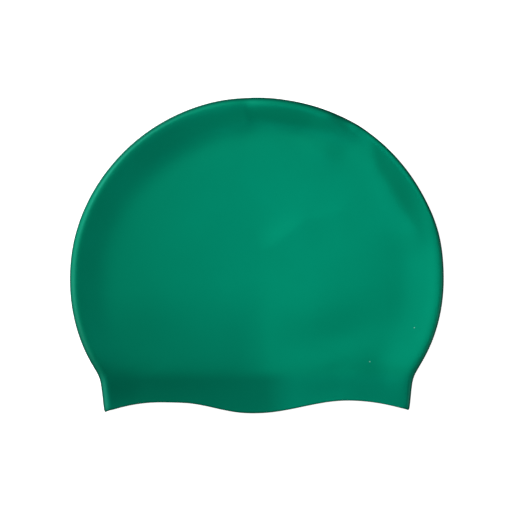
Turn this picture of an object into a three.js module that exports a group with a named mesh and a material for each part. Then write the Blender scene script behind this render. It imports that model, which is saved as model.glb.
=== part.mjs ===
// A silicone swim cap lying flat on its side, as it rests on a table.
// Seen from above, +Z, the crown points to +Y and the mouth opens toward -Y.
// It is one moulded shell: an upper and a lower wall that turn into each other in a springy
// fold round the crown, and part at the wavy hem. Lengths are in millimetres.

import * as THREE from "three";
import { LoftGeometry } from "three/addons/geometries/LoftGeometry.js";
import { mergeGeometries, mergeVertices } from "three/addons/utils/BufferGeometryUtils.js";

// Driving dimensions of the outline, as it lies flat
const capWidth = 220;
const capHeight = 186;
const widestHeight = 78.5;
const neckWidth = 184.6;
const neckHeight = 21.4;
const neckFillet = 5;
const hemWidth = 180;
const hemRise = 7.6;

// Driving dimensions of the walls and of how high they stand off the table
const crownWall = 1;
const bandWall = 1.4;
const bandWidth = 25;
const bandStep = 6;
const middleHeight = 9.6;
const mouthHeight = 7.4;
const lipLift = 0.5;
const lipWidth = 3.5;
const rimLift = 4.8;
const sinkWidth = 24;
const crestBend = 3;
const footBend = 10.8;
const foldWidth = 3;
const creaseWidth = 28;

// The hem from its left corner to its right one, as seen from above.
// across is a share of half the hem's width, rise a share of hemRise.
const hemRows = [
  { across: -1, rise: 0.02 },
  { across: -0.634, rise: 0.86 },
  { across: -0.5, rise: 0.83 },
  { across: -0.05, rise: 0 },
  { across: 0, rise: 0 },
  { across: 0.59, rise: 1 },
  { across: 1, rise: 0.2 },
];

// The rim, counter-clockwise from the right corner of the hem to the left one.
// angle is in degrees about the middle of the widest line. lift is a share of rimLift,
// sink of sinkWidth and fold of foldWidth. swell, how far the outline stands out there,
// is a share of foldWidth.
const rimRows = [
  { angle: -41, lift: 0.45, sink: 0.6, fold: 0.95, swell: 0 },
  { angle: -31, lift: 0.7, sink: 1, fold: 1, swell: -0.17 },
  { angle: -18, lift: 0.75, sink: 1.1, fold: 0.88, swell: 0 },
  { angle: 0, lift: 0.75, sink: 1.1, fold: 0.87, swell: 0 },
  { angle: 16, lift: 0.7, sink: 1, fold: 0.87, swell: 0.27 },
  { angle: 28, lift: 0.25, sink: 0.5, fold: 0.85, swell: 0.17 },
  { angle: 40, lift: 0.1, sink: 0.45, fold: 0.82, swell: 0.2 },
  { angle: 52, lift: 0.1, sink: 0.45, fold: 0.87, swell: 0.25 },
  { angle: 58, lift: 0.3, sink: 0.42, fold: 1, swell: 0.3 },
  { angle: 65, lift: 0.85, sink: 0.42, fold: 1.4, swell: 0.07 },
  { angle: 80, lift: 1, sink: 0.45, fold: 1.6, swell: -0.07 },
  { angle: 92, lift: 1, sink: 0.52, fold: 1.6, swell: -0.04 },
  { angle: 104, lift: 0.85, sink: 0.7, fold: 1.5, swell: 0.05 },
  { angle: 120, lift: 0.9, sink: 0.8, fold: 1.3, swell: 0 },
  { angle: 140, lift: 1, sink: 0.95, fold: 1.15, swell: -0.03 },
  { angle: 168, lift: 1, sink: 1, fold: 1.05, swell: 0.08 },
  { angle: 180, lift: 1, sink: 1, fold: 1.05, swell: 0 },
  { angle: 203, lift: 0.85, sink: 0.9, fold: 1.15, swell: 0.11 },
  { angle: 213, lift: 0.6, sink: 0.8, fold: 1.25, swell: 0 },
  { angle: 221, lift: 0.5, sink: 0.8, fold: 1.3, swell: 0 },
];

// Soft creases of the upper wall. across is a share of capWidth from its middle, up a share
// of capHeight from the hem, and turn the crease's direction in degrees from +X. reach, its
// half length, is a share of capWidth. left and right, its widths to either side of that
// direction, are shares of creaseWidth, and height one of rimLift, negative where it sinks.
const creaseRows = [
  { name: "valley", across: 0.014, up: 0.3, turn: 95, reach: 0.3, left: 1.6, right: 1.1, height: -0.48 },
  { name: "notch", across: -0.026, up: 0.97, turn: 92, reach: 0.09, left: 0.22, right: 0.3, height: -0.25 },
  { name: "shoulder", across: 0.37, up: 0.72, turn: 118, reach: 0.16, left: 0.7, right: 0.35, height: 0.3 },
  { name: "roll", across: 0, up: 0.145, turn: 0, reach: 0.4, left: 0.55, right: 0.4, height: 0.17 },
  { name: "hollow", across: 0.2, up: 0.24, turn: 20, reach: 0.14, left: 0.6, right: 0.4, height: -0.25 },
];

// How finely the surfaces are stepped
const bandSteps = 3;
const filletSteps = 3;
const lowerCrownSteps = 7;
const upperCrownSteps = 19;
const hemSteps = 30;
const foldSteps = 10;
const upperRings = [0, 0.09, 0.18, 0.28, 0.38, 0.48, 0.58, 0.67, 0.745, 0.805, 0.86, 0.91, 0.95, 0.978, 1];
const lowerRings = [0, 0.3, 0.6, 0.85, 1];

const middle = new THREE.Vector2(0, widestHeight);
const { clamp, degToRad, lerp, radToDeg, smoothstep } = THREE.MathUtils;

// The two rows on either side of a place in a table, with how far it is from one to the next
function rowsAround(rows, key, place) {
  const last = rows.length - 1;
  const following = rows.findIndex((row) => row[key] > place);
  const next = following < 0 ? last : Math.max(following, 1);
  const start = rows[next - 1];
  const end = rows[next];
  return { start, end, share: clamp((place - start[key]) / (end[key] - start[key]), 0, 1) };
}

function rimAt(point) {
  const turn = radToDeg(Math.atan2(point.y - middle.y, point.x - middle.x));
  const { start, end, share } = rowsAround(rimRows, "angle", turn < -90 ? turn + 360 : turn);
  const eased = smoothstep(share, 0, 1);
  const column = (name) => lerp(start[name], end[name], eased);
  return { lift: column("lift"), sink: column("sink"), fold: column("fold"), swell: column("swell") };
}

// Between its arches the hem is a smooth wave, and beyond them it bends down to the corners.
function hemLine(x) {
  const { start, end, share } = rowsAround(hemRows, "across", x / (hemWidth / 2));
  if (start === hemRows[0]) {
    return hemRise * lerp(end.rise, start.rise, (1 - share) ** 2);
  }
  if (end === hemRows[hemRows.length - 1]) {
    return hemRise * lerp(start.rise, end.rise, share ** 2);
  }
  return hemRise * lerp(start.rise, end.rise, smoothstep(share, 0, 1));
}

// One side of the outline, from the corner of the hem up to the top of the crown:
// the straight band, a fillet at the neck, and the crown in two quarters of ellipses.
function sideOutline(side) {
  const halfWidth = capWidth / 2;
  const neckShare = neckWidth / capWidth;
  const lowerDrop = (widestHeight - neckHeight) / Math.sqrt(1 - neckShare ** 2);
  const corner = new THREE.Vector2((side * hemWidth) / 2, hemLine((side * hemWidth) / 2));
  const neck = new THREE.Vector2((side * neckWidth) / 2, neckHeight);
  const bandTop = neck.clone().lerp(corner, neckFillet / neck.distanceTo(corner));
  const filletAngle = Math.acos(neckShare) - neckFillet / lowerDrop;
  const crownStart = new THREE.Vector2(
    side * halfWidth * Math.cos(filletAngle),
    widestHeight - lowerDrop * Math.sin(filletAngle),
  );
  const quarter = (rise, from, to) => {
    const start = side > 0 ? from : Math.PI - from;
    const end = side > 0 ? to : Math.PI - to;
    return new THREE.EllipseCurve(middle.x, middle.y, halfWidth, rise, start, end, side < 0);
  };
  const pieces = [
    { curve: new THREE.LineCurve(corner, bandTop), steps: bandSteps },
    { curve: new THREE.QuadraticBezierCurve(bandTop, neck, crownStart), steps: filletSteps },
    { curve: quarter(lowerDrop, -filletAngle, 0), steps: lowerCrownSteps },
    { curve: quarter(capHeight - widestHeight, 0, Math.PI / 2), steps: upperCrownSteps },
  ];
  return pieces.flatMap(({ curve, steps }, index) => curve.getPoints(steps).slice(index > 0 ? 1 : 0));
}

// The outline from the right corner of the hem round the crown to the left corner
function wholeOutline() {
  const left = sideOutline(-1).reverse();
  return [...sideOutline(1), ...left.slice(1)].map((point) => {
    const outward = point.clone().sub(middle).normalize();
    return point.clone().addScaledVector(outward, rimAt(point).swell * foldWidth);
  });
}

// The top of the fold runs inside the outline, and ends on the hem.
function crestLine(outline) {
  return outline.map((point, index) => {
    const inset = foldWidth * rimAt(point).fold;
    if (index === 0 || index === outline.length - 1) {
      const x = point.x - Math.sign(point.x) * inset;
      return new THREE.Vector2(x, hemLine(x));
    }
    const along = outline[index + 1].clone().sub(outline[index - 1]).normalize();
    return new THREE.Vector2(point.x - along.y * inset, point.y + along.x * inset);
  });
}

function hemPoints(crest) {
  const first = crest[crest.length - 1].x;
  const last = crest[0].x;
  return Array.from({ length: hemSteps - 1 }, (unused, index) => {
    const x = lerp(first, last, (index + 1) / hemSteps);
    return new THREE.Vector2(x, hemLine(x));
  });
}

function distanceToLine(point, line) {
  const nearest = new THREE.Vector3();
  const place = new THREE.Vector3(point.x, point.y, 0);
  const distances = line.slice(1).map((end, index) => {
    const from = new THREE.Vector3(line[index].x, line[index].y, 0);
    const segment = new THREE.Line3(from, new THREE.Vector3(end.x, end.y, 0));
    return segment.closestPointToPoint(place, true, nearest).distanceTo(place);
  });
  return Math.min(...distances);
}

function creaseHeight(point, crease) {
  const turn = degToRad(crease.turn);
  const x = point.x - crease.across * capWidth;
  const y = point.y - crease.up * capHeight;
  const along = x * Math.cos(turn) + y * Math.sin(turn);
  const aside = y * Math.cos(turn) - x * Math.sin(turn);
  const width = creaseWidth * (aside > 0 ? crease.left : crease.right);
  const fade = (along / (crease.reach * capWidth)) ** 4 + (aside / width) ** 2;
  return rimLift * crease.height * Math.exp(-fade);
}

// How much of the full height is reached above the hem: straight up the band,
// and rounded over its upper edge
function bandRamp(point) {
  const climb = Math.max(point.y, 0) / bandWidth;
  const rounding = bandStep / bandWidth;
  const overlap = Math.max(rounding - Math.abs(climb - 1), 0);
  return Math.min(climb, 1) - overlap ** 2 / (4 * rounding);
}

// How much of the rim's lift is left at a share of the way from its crest in to the middle of
// the wall: it bends down over the crest, falls evenly, and eases out at the foot
function slopeShare(inward) {
  const crest = crestBend / sinkWidth;
  const foot = footBend / sinkWidth;
  const overCrest = Math.max(crest - inward, 0) ** 2 / (2 * crest);
  const overFoot = Math.max(inward - 1 + foot, 0) ** 2 / (2 * foot);
  return 1 - (inward - crest / 2 + overCrest - overFoot) / (1 - crest / 2 - foot / 2);
}

// The upper wall flares a little at the hem.
function lipRise(point) {
  return lipLift * Math.exp(-Math.max(point.y - hemLine(point.x), 0) / lipWidth);
}

function upperHeight(point, crest) {
  const rim = rimAt(point);
  const inward = clamp(distanceToLine(point, crest) / (sinkWidth * rim.sink), 0, 1);
  const rimRise = rimLift * rim.lift * slopeShare(inward);
  const creases = creaseRows.reduce((sum, crease) => sum + creaseHeight(point, crease), 0);
  return lerp(mouthHeight, middleHeight + rimRise + creases, bandRamp(point)) + lipRise(point);
}

function ring(share, ends, heightAt) {
  return ends.map((end) => {
    const point = middle.clone().lerp(end, share);
    return new THREE.Vector3(point.x, point.y, heightAt(point));
  });
}

// Half an ellipse from the edge of the lower wall, round the outline and up to the crest
function foldRow(turn, crest, outline, heightAt) {
  return crest.map((inner, index) => {
    const point = inner.clone().lerp(outline[index], Math.sin(turn));
    return new THREE.Vector3(point.x, point.y, (heightAt(inner) * (1 - Math.cos(turn))) / 2);
  });
}

// One welded sheet from several: only positions, shared corners, and no empty triangles
function weld(sheets) {
  sheets.forEach((sheet) => {
    sheet.deleteAttribute("normal");
    sheet.deleteAttribute("uv");
  });
  const welded = mergeVertices(mergeGeometries(sheets));
  const corners = welded.getIndex().array;
  const kept = [];
  for (let first = 0; first < corners.length; first += 3) {
    const [a, b, c] = corners.slice(first, first + 3);
    if (a !== b && b !== c && c !== a) {
      kept.push(a, b, c);
    }
  }
  welded.setIndex(kept);
  welded.computeVertexNormals();
  return welded;
}

// The outer skin of the cap, from the middle of the lower wall, round the fold, to the middle
// of the upper wall. It is open at the mouth.
function outerSkin() {
  const outline = wholeOutline();
  const crest = crestLine(outline);
  const ends = [...crest, ...hemPoints(crest)];
  const heightAt = (point) => upperHeight(point, crest);
  const lower = lowerRings.map((share) => ring(share, ends, () => 0));
  const turns = Array.from({ length: foldSteps + 1 }, (unused, step) => (Math.PI * step) / foldSteps);
  const fold = turns.map((turn) => foldRow(turn, crest, outline, heightAt));
  const upper = upperRings.map((share) => ring(share, ends, heightAt)).reverse();
  return weld([
    new LoftGeometry(lower),
    new LoftGeometry(fold, { closed: false }),
    new LoftGeometry(upper),
  ]);
}

function wallAt(point) {
  return lerp(bandWall, crownWall, smoothstep(point.y, bandWidth - bandStep, bandWidth + bandStep));
}

// A closed wall from an open skin: the skin, the same skin moved inward and turned over,
// and a strip between the two along each open edge
function thicken(skin) {
  const outside = skin.getAttribute("position");
  const normals = skin.getAttribute("normal");
  const count = outside.count;
  const positions = new Float32Array(count * 6);
  positions.set(outside.array);
  for (let index = 0; index < count; index += 1) {
    const point = new THREE.Vector3().fromBufferAttribute(outside, index);
    const normal = new THREE.Vector3().fromBufferAttribute(normals, index);
    point.addScaledVector(normal, -wallAt(point));
    point.toArray(positions, (count + index) * 3);
  }
  const corners = Array.from(skin.getIndex().array);
  const faces = [...corners];
  const edges = new Map();
  for (let first = 0; first < corners.length; first += 3) {
    const [a, b, c] = corners.slice(first, first + 3);
    faces.push(count + a, count + c, count + b);
    [[a, b], [b, c], [c, a]].forEach((edge) => edges.set(edge.join(), edge));
  }
  edges.forEach(([from, to]) => {
    if (!edges.has([to, from].join())) {
      faces.push(to, from, count + from);
      faces.push(to, count + from, count + to);
    }
  });
  const wall = new THREE.BufferGeometry();
  wall.setAttribute("position", new THREE.BufferAttribute(positions, 3));
  wall.setIndex(faces);
  wall.computeVertexNormals();
  return wall;
}

const silicone = new THREE.MeshStandardMaterial({
  name: "silicone",
  color: new THREE.Color(0x007b60),
  roughness: 0.5,
  metalness: 0,
});

const swimCap = new THREE.Mesh(thicken(outerSkin()), silicone);
swimCap.name = "swim_cap";

// The origin is under the middle of the cap, on the table.
swimCap.geometry.computeBoundingBox();
const extent = swimCap.geometry.boundingBox;
const underMiddle = extent.getCenter(new THREE.Vector3()).setZ(extent.min.z);
swimCap.position.copy(underMiddle).negate();

const cap = new THREE.Group();
cap.name = "cap";
cap.add(swimCap);

export default cap;
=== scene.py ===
"""A silicone swim cap that lies flat on a white table, seen straight from above."""

from collections import namedtuple
import math

import bpy
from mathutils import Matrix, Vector, kdtree, noise


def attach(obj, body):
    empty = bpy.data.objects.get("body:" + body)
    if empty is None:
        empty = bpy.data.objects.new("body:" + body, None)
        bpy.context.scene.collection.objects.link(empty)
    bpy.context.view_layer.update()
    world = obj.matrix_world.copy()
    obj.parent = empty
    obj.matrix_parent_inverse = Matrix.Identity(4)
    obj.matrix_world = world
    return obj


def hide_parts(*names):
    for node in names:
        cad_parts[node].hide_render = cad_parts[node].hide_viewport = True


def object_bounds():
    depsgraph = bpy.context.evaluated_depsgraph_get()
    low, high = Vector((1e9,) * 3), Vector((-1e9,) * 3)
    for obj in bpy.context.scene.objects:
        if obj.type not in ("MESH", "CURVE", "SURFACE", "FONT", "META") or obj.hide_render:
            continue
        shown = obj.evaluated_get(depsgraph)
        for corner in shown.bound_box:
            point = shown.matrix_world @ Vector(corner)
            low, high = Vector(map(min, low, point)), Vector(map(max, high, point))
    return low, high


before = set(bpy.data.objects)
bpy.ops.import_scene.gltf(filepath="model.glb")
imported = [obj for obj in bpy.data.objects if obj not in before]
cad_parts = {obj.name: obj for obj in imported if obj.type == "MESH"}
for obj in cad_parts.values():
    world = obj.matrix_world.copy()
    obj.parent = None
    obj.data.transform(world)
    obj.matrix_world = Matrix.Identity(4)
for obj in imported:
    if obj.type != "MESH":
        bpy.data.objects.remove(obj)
LOW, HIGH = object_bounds()
CAP_NODE = "swim_cap"

bl_info = {
    "name": "Silicone swim cap",
    "version": (1, 0, 0),
    "blender": (4, 5, 0),
    "location": "View3D > Sidebar > Swim cap",
    "description": "Builds a moulded silicone swim cap lying flat, with its table, lights and camera",
    "category": "Object",
}

MM = 0.001
RIM_DISTANCE = "rim_distance"
SENSOR_WIDTH = 36

# Fine folds of the upper wall, in millimetres. Each runs through a point, given across from the
# middle of the cap and up from the hem, and is turned in degrees from +X. reach is its half
# length, left and right are its widths to either side, and rise its height, negative where it
# sinks. edge says how sharp it is: 1 comes to an edge, 2 is round.
Fold = namedtuple("Fold", "name across up turn reach left right rise edge")
FOLDS = (
    Fold("centre line", 4.5, 32, 95, 48, 11, 9, -0.45, 1.6),
    Fold("crown notch", -6, 184, 90.5, 13, 4, 4.5, -1.1, 1.1),
    Fold("crown pit", 51, 171.5, 155, 6, 3.5, 3, -1.4, 2),
    Fold("pit tail", 55.5, 166, 147, 7, 1.2, 1.5, -0.3, 1.2),
    Fold("crown slump", 42, 160, 55, 12, 14, 9, 0.9, 2),
    Fold("shoulder top", 68.7, 152, 103, 11, 6, 4.5, 0.7, 1.6),
    Fold("shoulder", 83.5, 123, 121, 25, 8, 5.5, 1.1, 1.8),
    Fold("long streak", 18, 105, 36, 15, 8, 20, 1.25, 1.6),
    Fold("short streak", 42, 116.8, 10, 11, 4, 9, 0.3, 1.4),
    Fold("middle swell", 38, 75, 95, 25, 20, 30, 0.5, 2),
    Fold("right dent", 55, 28, 0, 26, 15, 9, -0.8, 1.8),
    Fold("hem dent", 48, 20, 100, 9, 9, 6, -0.3, 1.6),
)

# Low ridges and dips that follow the rim. turn is the middle of each in degrees, counter-clockwise
# from +X about the middle of the cap's widest line, and reach its half length in degrees. place is
# how far its crest lies in from the outline, out and into are its widths to either side, and rise
# its height, negative where it sinks, in millimetres.
Ridge = namedtuple("Ridge", "name turn reach place out into rise")
RIDGES = (
    Ridge("right lip", -5, 25, 2.8, 2, 5.5, 0.55),
    Ridge("shoulder lip", 42, 10, 2, 1.2, 1.2, 0.45),
    Ridge("crown bank", 74, 16, 5, 4, 6, 0.8),
    Ridge("crown hollow", 68, 15, 16, 10, 7, -1.4),
    Ridge("crown dip", 105, 35, 18, 7, 11, -1.2),
    Ridge("left lip", 185, 45, 1.1, 2, 2.3, -1.5),
    Ridge("shoulder fall", 38, 20, 3.5, 3, 8, -1.6),
)

# How far up the cap its widest line lies, as a share of its height
WIDEST_SHARE = 0.42

# Heights above the table, in millimetres, where the folds begin and where they reach full depth
FOLDS_BEGIN = 1.5
FOLDS_FULL = 5.5

# The outline runs where the outer skin stands upright: the part of its normal that points up or down
# is below UPRIGHT. The hem is left out: it lies below HEM_TOP, in millimetres from the lowest point,
# and the part of its normal that points across is below HEM_FACING. Each edge of the outline gets
# OUTLINE_STEPS points to measure from.
UPRIGHT = 0.1
HEM_FACING = 0.7
HEM_TOP = 9.5
OUTLINE_STEPS = 6

# Where one tone of the silicone fades into the next, in millimetres. along says what is measured:
# up from the hem, across from the middle, height above the table or inward from the outline.
# strength is how far the tone has come in at the end of the fade.
Fade = namedtuple("Fade", "along start end strength")
# Painted shade over the lower left of the crown: its colour turns to the painted shade colour up from the
# hem and toward the left
SHADE_TOP = Fade("up", 80, 38, 1)
SHADE_SIDE = Fade("across", 10, -14, 1)
# Painted shadow inside the left rim, where the rim shades the crown
RIM_SHADOW_WIDTH = Fade("inward", 25, 14, 1)
RIM_SHADOW_SIDE = Fade("across", -20, -60, 0.7)
# The head band runs from painted shade at its left to painted light toward its right end, with painted
# light again at its far left end
BAND_RIGHT = Fade("across", 5, 25, 0.7)
BAND_FAR_RIGHT = Fade("across", 50, 80, 0.35)
BAND_LEFT_END = Fade("across", -70, -90, 0.5)
UPPER_WALL = Fade("height", 2, 3, 1)

# The painted shade line at the edge, where the rim turns under, is a millimetre wider over the crown, and
# the right shoulder takes this many times that widening off again
CROWN_TOP = Fade("up", 110, 160, 1)
SHOULDER_SIDE = Fade("across", 50, 72, 2.4)

# Brightness of the painted shadow inside the left rim, as a share of the painted shade colour
RIM_SHADE = 0.95
# Half the width over which the head band fades into the crown, and how far in the painted shade line at the
# edge is darkest, in millimetres
BAND_EDGE = 4
EDGE_CORE = 0.4
# Solid middle of a speck, as a share of its radius
SPECK_CORE = 0.4

# Faint cloudiness of the colour, fine grain of the surface and slow change of its roughness. Each
# scale is how often the noise repeats in a metre, and GRAIN_HEIGHT is in millimetres.
CLOUD_SCALE = 22
CLOUD_DARK = (0.92, 0.92, 0.92, 1)
CLOUD_LIGHT = (1.08, 1.08, 1.08, 1)
GRAIN_SCALE = 900
GRAIN_STRENGTH = 0.12
GRAIN_HEIGHT = 0.1
GLOSS_SCALE = 60
ROUGH_LEAST = 0.5
ROUGH_SPAN = 0.14

# The shell's loose triangles are merged within this distance, in millimetres, and pairs of them
# become four-sided faces where they meet at less than this angle, in degrees
MERGE_WITHIN = 0.01
QUAD_ANGLE = 60

# Specks of dust on the upper wall, in millimetres across from the middle and up from the hem
Speck = namedtuple("Speck", "across up radius")
SPECKS = (
    Speck(66.3, 30.7, 0.5),
    Speck(92.2, 50.7, 0.4),
)

# Disk lights round the cap: turn counter-clockwise from +X and rise above the table in degrees,
# distance and size in metres. The setting of the same name holds each light's power.
Light = namedtuple("Light", "name turn rise distance size")
LIGHTS = (
    Light("key", 140, 15, 1.5, 0.4),
    Light("left", 190, 2.5, 1.5, 0.1),
    Light("right", -12, 4, 1.5, 0.1),
    Light("lamp", 45, 90, 0.2, 0.1),
)


class SwimCapSettings(bpy.types.PropertyGroup):
    """Sizes and colours of the cap"""

    smooth_levels: bpy.props.IntProperty(
        name="Smoothness", description="Levels of subdivision of the shell", default=2, min=1, max=3,
    )
    fold_depth: bpy.props.FloatProperty(
        name="Fold depth", description="Share of their full height that the fine folds reach", default=1,
    )
    wave_height: bpy.props.FloatProperty(
        name="Wave height", description="How far the slack silicone waves up and down",
        default=0.12 * MM, unit="LENGTH",
    )
    wave_length: bpy.props.FloatProperty(
        name="Wave length", description="Size of those waves", default=30 * MM, unit="LENGTH",
    )
    band_width: bpy.props.FloatProperty(
        name="Head band", description="Width of the thicker band above the hem",
        default=22.8 * MM, unit="LENGTH",
    )
    crown_color: bpy.props.FloatVectorProperty(
        name="Crown colour", description="Colour of the thin silicone of the crown",
        default=(0.0, 0.2, 0.11), size=3, min=0, max=1, subtype="COLOR",
    )
    # Painted shade: the darker colour laid over the crown's lower left and inside its left rim
    painted_shade_color: bpy.props.FloatVectorProperty(
        name="Deep colour", description="Colour of the crown where it lies doubled over its lower left",
        default=(0.0, 0.17, 0.094), size=3, min=0, max=1, subtype="COLOR",
    )
    # The head band's two colours are painted shade at its left end and painted light at its right end
    band_shaded_color: bpy.props.FloatVectorProperty(
        name="Band colour, left", description="Colour of the thick head band at its left end",
        default=(0.0, 0.143, 0.081), size=3, min=0, max=1, subtype="COLOR",
    )
    band_lit_color: bpy.props.FloatVectorProperty(
        name="Band colour, right", description="Colour of the thick head band at its right end",
        default=(0.0, 0.228, 0.133), size=3, min=0, max=1, subtype="COLOR",
    )
    # A painted shade line along the outline, where the rim turns under
    edge_width: bpy.props.FloatProperty(
        name="Edge width", description="Width of the deep line where the rim turns under",
        default=2 * MM, unit="LENGTH",
    )
    edge_shade_color: bpy.props.FloatVectorProperty(
        name="Edge colour", description="Colour of the folded rim where it turns under",
        default=(0.0, 0.07, 0.042), size=3, min=0, max=1, subtype="COLOR",
    )
    sheen_color: bpy.props.FloatVectorProperty(
        name="Sheen colour", description="Tint of the soft reflections on the silicone",
        default=(0.0, 1.0, 0.8), size=3, min=0, max=1, subtype="COLOR",
    )
    dust_color: bpy.props.FloatVectorProperty(
        name="Dust colour", description="Colour of the few specks of dust",
        default=(0.2, 0.5, 0.4), size=3, min=0, max=1, subtype="COLOR",
    )


class StageSettings(bpy.types.PropertyGroup):
    """The table, the lights and the camera"""

    table_size: bpy.props.FloatProperty(
        name="Table", description="Side of the white table top", default=3, unit="LENGTH",
    )
    table_color: bpy.props.FloatVectorProperty(
        name="Table colour", description="Colour of the table top",
        default=(0.9, 0.9, 0.9), size=3, min=0, max=1, subtype="COLOR",
    )
    table_glow: bpy.props.FloatProperty(
        name="Table glow", description="Light that the bright table gives off by itself", default=1,
    )
    view_width: bpy.props.FloatProperty(
        name="View width", description="Width of the table that the picture shows",
        default=301.1 * MM, unit="LENGTH",
    )
    view_middle: bpy.props.FloatVectorProperty(
        name="View middle", description="Point that the camera looks straight down at",
        default=(-0.44 * MM, -0.35 * MM, 6.5 * MM), size=3, subtype="TRANSLATION",
    )
    lens: bpy.props.FloatProperty(name="Lens", description="Focal length in millimetres", default=120)
    lamp_over: bpy.props.FloatVectorProperty(
        name="Lamp over", description="Point of the table that the small lamp hangs over",
        default=(24 * MM, 12 * MM, 0), size=3, subtype="TRANSLATION",
    )
    key_watts: bpy.props.FloatProperty(name="Key power", description="Power of the key light", default=32)
    left_watts: bpy.props.FloatProperty(
        name="Left power", description="Power of the low light that draws the left edge", default=9,
    )
    right_watts: bpy.props.FloatProperty(
        name="Right power", description="Power of the low light that draws the right edge", default=7.5,
    )
    lamp_watts: bpy.props.FloatProperty(
        name="Lamp power", description="Power of the small lamp over the cap", default=0.275,
    )
    air_light: bpy.props.FloatProperty(
        name="Room light", description="Even light from all round", default=0.045,
    )


class Wire:
    """An output of a shader node that can be used in sums like a number"""

    def __init__(self, graph, socket):
        self.graph = graph
        self.socket = socket

    def math(self, operation, *values):
        values = (self, *values)
        return self.graph.node("ShaderNodeMath", {"operation": operation}, dict(enumerate(values)))

    def __add__(self, other):
        return self.math("ADD", other)

    def __radd__(self, other):
        return self.math("ADD", other)

    def __sub__(self, other):
        return self.math("SUBTRACT", other)

    def __rsub__(self, other):
        return self.math("MULTIPLY_ADD", -1, other)

    def __mul__(self, other):
        return self.math("MULTIPLY", other)

    def __rmul__(self, other):
        return self.math("MULTIPLY", other)


class Graph:
    """The nodes of one material"""

    def __init__(self, name):
        self.material = bpy.data.materials.new(name)
        self.material.use_nodes = True
        self.tree = self.material.node_tree
        self.tree.nodes.clear()

    def node(self, kind, settings=None, sockets=None, output=0):
        made = self.tree.nodes.new(kind)
        for name, value in (settings or {}).items():
            setattr(made, name, value)
        for name, value in (sockets or {}).items():
            if isinstance(value, Wire):
                self.tree.links.new(value.socket, made.inputs[name])
            else:
                made.inputs[name].default_value = value
        return Wire(self, made.outputs[output]) if len(made.outputs) else made

    def ramp(self, value, start, end):
        sockets = {"Value": value, "From Min": start, "From Max": end}
        return self.node("ShaderNodeMapRange", {"interpolation_type": "SMOOTHSTEP"}, sockets)

    def noise(self, place, scale, detail):
        sockets = {"Vector": place, "Scale": scale, "Detail": detail}
        return self.node("ShaderNodeTexNoise", None, sockets)

    def blend(self, share, first, second):
        sockets = {"Factor": share, 6: first, 7: second}
        return self.node("ShaderNodeMix", {"data_type": "RGBA"}, sockets, 2)

    def finish(self, surface):
        self.node("ShaderNodeOutputMaterial", None, {"Surface": surface})
        return self.material


def opaque(color, share=1.0):
    return (color[0] * share, color[1] * share, color[2] * share, 1.0)


def silicone_material(settings):
    """Satin moulded silicone: slightly cloudy, a few specks, with painted shade over its lower left, inside
    its left rim, on the head band's left and along the edge where the rim turns under, and painted light on
    the head band's right and far left end
    """
    graph = Graph("silicone")
    place = graph.node("ShaderNodeTexCoord", output="Object")
    across = graph.node("ShaderNodeSeparateXYZ", None, {"Vector": place}, "X")
    up = graph.node("ShaderNodeSeparateXYZ", None, {"Vector": place}, "Y") - LOW.y
    height = graph.node("ShaderNodeSeparateXYZ", None, {"Vector": place}, "Z")
    inward = graph.node("ShaderNodeAttribute", {"attribute_name": RIM_DISTANCE}, output="Fac")
    measures = {"across": across, "up": up, "height": height, "inward": inward}

    def faded(fade):
        return fade.strength * graph.ramp(measures[fade.along], fade.start * MM, fade.end * MM)

    # Painted shade over the crown's lower left
    crown = graph.blend(
        faded(SHADE_TOP) * faded(SHADE_SIDE), opaque(settings.crown_color), opaque(settings.painted_shade_color),
    )
    # Painted shadow inside the left rim
    crown = graph.blend(faded(RIM_SHADOW_WIDTH) * faded(RIM_SHADOW_SIDE), crown, opaque(settings.painted_shade_color, RIM_SHADE))
    # Head band: painted shade at its left, painted light toward its right and at its far left end
    band_painted_light = faded(BAND_RIGHT) + faded(BAND_FAR_RIGHT) + faded(BAND_LEFT_END)
    band_color = graph.blend(band_painted_light, opaque(settings.band_shaded_color), opaque(settings.band_lit_color))
    band = graph.ramp(up, settings.band_width + BAND_EDGE * MM, settings.band_width - BAND_EDGE * MM)
    color = graph.blend(band, crown, band_color)
    # Painted shade line along the outline where the rim turns under
    edge_width = settings.edge_width + faded(CROWN_TOP) * (1 - faded(SHOULDER_SIDE)) * MM
    edge = graph.ramp(inward, edge_width, EDGE_CORE * MM)
    color = graph.blend(edge, color, opaque(settings.edge_shade_color))
    cloud = graph.blend(graph.noise(place, CLOUD_SCALE, 3), CLOUD_DARK, CLOUD_LIGHT)
    color = graph.node("ShaderNodeMix", {"data_type": "RGBA", "blend_type": "MULTIPLY"}, {
        "Factor": 1.0, 6: color, 7: cloud,
    }, 2)
    upper = faded(UPPER_WALL)
    for speck in SPECKS:
        aside = across - speck.across * MM
        above = up - speck.up * MM
        away = (aside * aside + above * above).math("SQRT")
        dust = graph.ramp(away, speck.radius * MM, speck.radius * SPECK_CORE * MM) * upper
        color = graph.blend(dust, color, opaque(settings.dust_color))
    roughness = ROUGH_LEAST + ROUGH_SPAN * graph.noise(place, GLOSS_SCALE, 3)
    bump = graph.node("ShaderNodeBump", None, {
        "Strength": GRAIN_STRENGTH, "Distance": GRAIN_HEIGHT * MM,
        "Height": graph.noise(place, GRAIN_SCALE, 2),
    }, "Normal")
    surface = graph.node("ShaderNodeBsdfPrincipled", None, {
        "Base Color": color, "Roughness": roughness, "IOR": 1.41,
        "Specular IOR Level": 0.3, "Specular Tint": opaque(settings.sheen_color), "Normal": bump,
    })
    return graph.finish(surface)


def table_material(stage):
    graph = Graph("white_table")
    surface = graph.node("ShaderNodeBsdfPrincipled", None, {
        "Base Color": opaque(stage.table_color), "Roughness": 0.9, "Specular IOR Level": 0.1,
        "Emission Color": (1, 1, 1, 1), "Emission Strength": stage.table_glow,
    })
    return graph.finish(surface)


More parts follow.
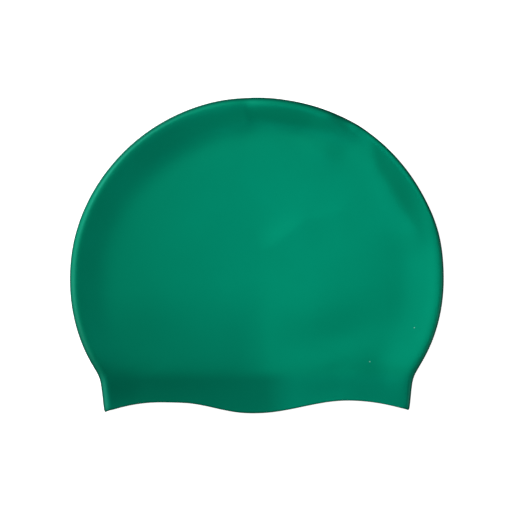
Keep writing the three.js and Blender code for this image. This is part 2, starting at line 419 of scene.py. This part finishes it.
def select_only(piece):
    bpy.ops.object.select_all(action="DESELECT")
    piece.select_set(True)
    bpy.context.view_layer.objects.active = piece


def apply_modifier(piece, kind, name, **settings):
    modifier = piece.modifiers.new(name, kind)
    for setting, value in settings.items():
        setattr(modifier, setting, value)
    bpy.ops.object.modifier_apply(modifier=modifier.name)


def fold_rise(fold, x, y):
    """Height of one fold, in millimetres, at a point across from the middle and up from the hem"""
    turn = math.radians(fold.turn)
    along = (x - fold.across) * math.cos(turn) + (y - fold.up) * math.sin(turn)
    aside = (y - fold.up) * math.cos(turn) - (x - fold.across) * math.sin(turn)
    width = fold.left if aside > 0 else fold.right
    return fold.rise * math.exp(-((along / fold.reach) ** 4) - abs(aside / width) ** fold.edge)


def ridge_rise(ridge, turn, inward):
    """Height of one ridge, in millimetres, at a turn round the rim and a distance in from the outline"""
    width = ridge.out if inward < ridge.place else ridge.into
    along = (turn - ridge.turn) / ridge.reach
    aside = (inward - ridge.place) / width
    return ridge.rise * math.exp(-(along ** 4) - aside ** 2)


def measure_rim(piece, middle):
    """Stores with each vertex how far it lies in from the outline of the rim"""
    mesh = piece.data
    outer = set()
    for vertex in mesh.vertices:
        away = Vector((vertex.co.x - middle.x, vertex.co.y - middle.y, 0))
        on_hem = vertex.co.y < LOW.y + HEM_TOP * MM and abs(vertex.normal.x) < HEM_FACING
        if abs(vertex.normal.z) < UPRIGHT and vertex.normal.dot(away) > 0 and not on_hem:
            outer.add(vertex.index)
    line = []
    for edge in mesh.edges:
        first, second = edge.vertices
        if first in outer and second in outer:
            start, end = mesh.vertices[first].co, mesh.vertices[second].co
            line.extend(start.lerp(end, step / OUTLINE_STEPS) for step in range(OUTLINE_STEPS))
    tree = kdtree.KDTree(len(line))
    for index, point in enumerate(line):
        tree.insert((point.x, point.y, 0), index)
    tree.balance()
    stored = mesh.attributes.new(RIM_DISTANCE, "FLOAT", "POINT")
    for vertex in mesh.vertices:
        stored.data[vertex.index].value = tree.find((vertex.co.x, vertex.co.y, 0))[2]


def press_folds(piece, middle, settings):
    """Moves the upper wall up and down into its fine folds; the lower wall stays on the table"""
    rim = piece.data.attributes[RIM_DISTANCE].data
    for vertex in piece.data.vertices:
        x, y, z = vertex.co / MM
        share = min(max((z - FOLDS_BEGIN) / (FOLDS_FULL - FOLDS_BEGIN), 0), 1)
        if share > 0:
            folds = sum(fold_rise(fold, x, y - LOW.y / MM) for fold in FOLDS)
            turn = math.degrees(math.atan2(vertex.co.y - middle.y, vertex.co.x - middle.x))
            turn += 360 if turn < -90 else 0
            inward = rim[vertex.index].value / MM
            folds += sum(ridge_rise(ridge, turn, inward) for ridge in RIDGES)
            wave = noise.noise(Vector((vertex.co.x, vertex.co.y, 0)) / settings.wave_length)
            rise = folds * MM * settings.fold_depth + wave * settings.wave_height
            vertex.co.z += rise * share * share * (3 - 2 * share)


class SWIMCAP_OT_shell(bpy.types.Operator):
    """Makes the smooth silicone shell of the cap"""

    bl_idname = "swimcap.shell"
    bl_label = "Cap shell"

    def execute(self, context):
        settings = context.scene.swim_cap
        select_only(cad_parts[CAP_NODE])
        bpy.ops.object.duplicate()
        shell = context.view_layer.objects.active
        shell.name = "cap_shell"
        for key in list(shell.keys()):
            del shell[key]
        shell.parent = None
        shell.data.materials.clear()
        bpy.ops.object.mode_set(mode="EDIT")
        bpy.ops.mesh.select_all(action="SELECT")
        bpy.ops.mesh.remove_doubles(threshold=MERGE_WITHIN * MM)
        angle = math.radians(QUAD_ANGLE)
        bpy.ops.mesh.tris_convert_to_quads(face_threshold=angle, shape_threshold=angle)
        bpy.ops.object.mode_set(mode="OBJECT")
        apply_modifier(
            shell, "SUBSURF", "smooth", levels=settings.smooth_levels, render_levels=settings.smooth_levels,
        )
        middle = Vector((0, LOW.y + WIDEST_SHARE * (HIGH.y - LOW.y), 0))
        measure_rim(shell, middle)
        press_folds(shell, middle, settings)
        bpy.ops.object.shade_smooth()
        shell.data.materials.append(silicone_material(settings))
        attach(shell, "root")
        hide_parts(CAP_NODE)
        return {"FINISHED"}


class SWIMCAP_OT_stage(bpy.types.Operator):
    """Sets the white table, the soft lights and the camera above"""

    bl_idname = "swimcap.stage"
    bl_label = "Table, lights and camera"

    def area_light(self, light, target, watts):
        turn = math.radians(light.turn)
        rise = math.radians(light.rise)
        across = math.cos(rise)
        direction = Vector((math.cos(turn) * across, math.sin(turn) * across, math.sin(rise)))
        bpy.ops.object.light_add(type="AREA", location=target + direction * light.distance)
        lamp = bpy.context.view_layer.objects.active
        lamp.name = light.name + "_light"
        lamp.rotation_euler = direction.to_track_quat("Z", "Y").to_euler()
        lamp.data.shape = "DISK"
        lamp.data.size = light.size
        lamp.data.energy = watts
        lamp.visible_camera = False

    def execute(self, context):
        stage = context.scene.swim_cap_stage
        scene = context.scene
        middle = Vector(stage.view_middle)
        bpy.ops.object.select_all(action="DESELECT")
        bpy.ops.mesh.primitive_plane_add(size=stage.table_size, location=(0, 0, 0))
        table = context.view_layer.objects.active
        table.name = "table_top"
        table.data.materials.append(table_material(stage))
        table.visible_diffuse = False
        table.visible_glossy = False
        for light in LIGHTS:
            target = Vector(stage.lamp_over) if light.name == "lamp" else middle
            self.area_light(light, target, getattr(stage, light.name + "_watts"))
        world = bpy.data.worlds.new("room")
        world.use_nodes = True
        backdrop = world.node_tree.nodes["Background"]
        backdrop.inputs["Color"].default_value = (1, 1, 1, 1)
        backdrop.inputs["Strength"].default_value = stage.air_light
        scene.world = world
        bpy.ops.object.camera_add()
        camera = context.view_layer.objects.active
        camera.data.lens = stage.lens
        camera.data.sensor_width = SENSOR_WIDTH
        camera.location = middle + Vector((0, 0, stage.view_width * stage.lens / SENSOR_WIDTH))
        camera.rotation_euler = (0, 0, 0)
        scene.camera = camera
        scene.view_settings.view_transform = "Standard"
        return {"FINISHED"}


class SWIMCAP_PT_panel(bpy.types.Panel):
    """Lists the pieces and their sizes and colours"""

    bl_idname = "SWIMCAP_PT_panel"
    bl_label = "Swim cap"
    bl_space_type = "VIEW_3D"
    bl_region_type = "UI"
    bl_category = "Swim cap"

    def draw(self, context):
        groups = (
            (SWIMCAP_OT_shell.bl_idname, context.scene.swim_cap),
            (SWIMCAP_OT_stage.bl_idname, context.scene.swim_cap_stage),
        )
        for operator, settings in groups:
            box = self.layout.box()
            box.operator(operator)
            for name in settings.__annotations__:
                box.prop(settings, name)


CLASSES = (SwimCapSettings, StageSettings, SWIMCAP_OT_shell, SWIMCAP_OT_stage, SWIMCAP_PT_panel)


def register():
    for entry in CLASSES:
        bpy.utils.register_class(entry)
    bpy.types.Scene.swim_cap = bpy.props.PointerProperty(type=SwimCapSettings)
    bpy.types.Scene.swim_cap_stage = bpy.props.PointerProperty(type=StageSettings)


def unregister():
    del bpy.types.Scene.swim_cap_stage
    del bpy.types.Scene.swim_cap
    for entry in reversed(CLASSES):
        bpy.utils.unregister_class(entry)


def main():
    register()
    bpy.ops.swimcap.shell()
    bpy.ops.swimcap.stage()


if __name__ == "__main__":
    main()
